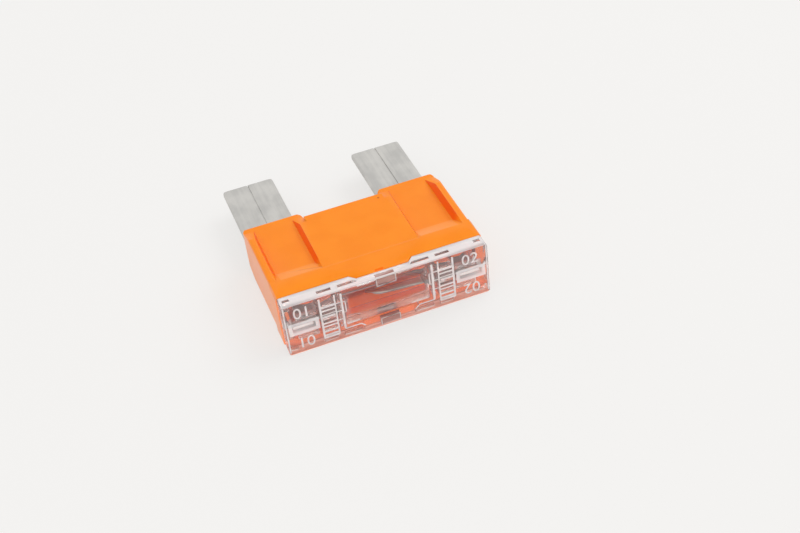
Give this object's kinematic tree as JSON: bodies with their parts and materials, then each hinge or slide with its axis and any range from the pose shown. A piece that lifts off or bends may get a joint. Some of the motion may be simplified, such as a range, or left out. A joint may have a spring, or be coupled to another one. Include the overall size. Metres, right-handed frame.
{
  "type": "automotive blade fuse",
  "caption": "Large plug-in blade fuse: orange housing with a clear cap at its end and flat tinned blades for a fuse holder.",
  "frame": {"origin": "middle of the fuse's bounding box, on the table plane that its broad face lies on", "axes": "+Y the way the fuse plugs in, from the clear cap to the blade tips; +X across the width; +Z through the thickness, up from the face it lies on"},
  "size_m": [0.0292, 0.034, 0.0083],
  "materials": {
    "orange_plastic": "smooth moulded, slightly translucent orange",
    "clear_plastic": "clear moulded polycarbonate",
    "tinned_metal": "matt tin plating on sheet metal"
  },
  "bodies": {
    "root": {"housing": "orange_plastic", "clear_cap": "clear_plastic", "fuse_element": "tinned_metal"}
  },
  "joints": []
}
